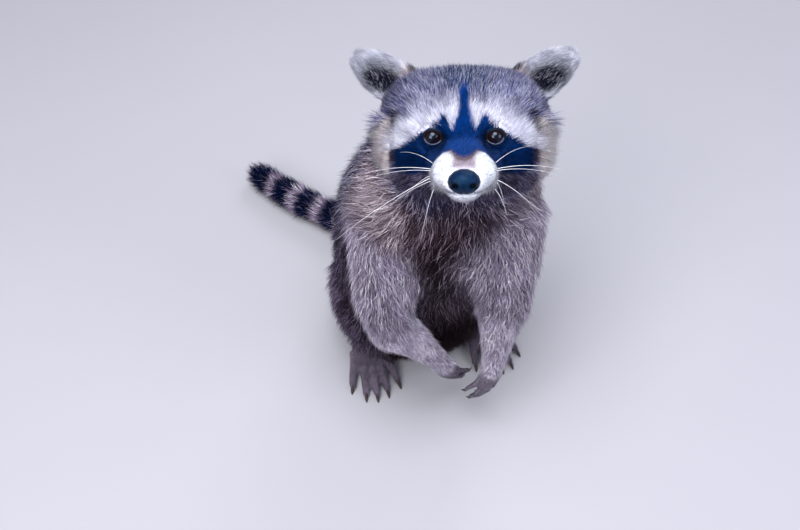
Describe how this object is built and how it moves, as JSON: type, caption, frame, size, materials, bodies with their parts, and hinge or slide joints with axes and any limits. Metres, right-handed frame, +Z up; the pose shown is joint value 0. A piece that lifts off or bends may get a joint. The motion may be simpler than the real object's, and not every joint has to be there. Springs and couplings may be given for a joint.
{
  "type": "raccoon",
  "caption": "Life-size still raccoon sitting up on its haunches, looking up, with its hands hanging in front and its ringed tail laid out behind.",
  "frame": {"origin": "middle of the flat under the rump, on the floor", "axes": "+Z up from the floor, the animal faces -Y, +X is towards its left side"},
  "size_m": [0.2923, 0.3466, 0.353],
  "materials": {
    "grizzled_fur": "grizzled guard hair over a brown undercoat",
    "face_fur": "short grizzled face fur with a dark mask",
    "white_fur": "short white fur",
    "tail_fur": "dense dark fur with pale rings",
    "paw_skin": "bare dark skin with very short hair",
    "nose_leather": "moist pebbled black skin",
    "eye_gloss": "wet cornea over a dark brown iris",
    "claw_horn": "smooth horn"
  },
  "bodies": {
    "root": {"ear_left": "face_fur", "ear_right": "face_fur", "eye_left": "eye_gloss", "eye_right": "eye_gloss", "foot_claw_left_1": "claw_horn", "foot_claw_left_2": "claw_horn", "foot_claw_left_3": "claw_horn", "foot_claw_left_4": "claw_horn", "foot_claw_left_5": "claw_horn", "foot_claw_right_1": "claw_horn", "foot_claw_right_2": "claw_horn", "foot_claw_right_3": "claw_horn", "foot_claw_right_4": "claw_horn", "foot_claw_right_5": "claw_horn", "foot_left": "paw_skin", "foot_right": "paw_skin", "forearm_left": "grizzled_fur", "forearm_right": "grizzled_fur", "hand_claw_left_1": "claw_horn", "hand_claw_left_2": "claw_horn", "hand_claw_left_3": "claw_horn", "hand_claw_left_4": "claw_horn", "hand_claw_left_5": "claw_horn", "hand_claw_right_1": "claw_horn", "hand_claw_right_2": "claw_horn", "hand_claw_right_3": "claw_horn", "hand_claw_right_4": "claw_horn", "hand_claw_right_5": "claw_horn", "hand_left": "paw_skin", "hand_right": "paw_skin", "head": "face_fur", "lower_jaw": "white_fur", "muzzle": "white_fur", "neck": "grizzled_fur", "nose": "nose_leather", "shank_left": "grizzled_fur", "shank_right": "grizzled_fur", "tail_base": "tail_fur", "tail_middle": "tail_fur", "tail_tip": "tail_fur", "thigh_left": "grizzled_fur", "thigh_right": "grizzled_fur", "trunk": "grizzled_fur", "upper_arm_left": "grizzled_fur", "upper_arm_right": "grizzled_fur"}
  },
  "joints": []
}
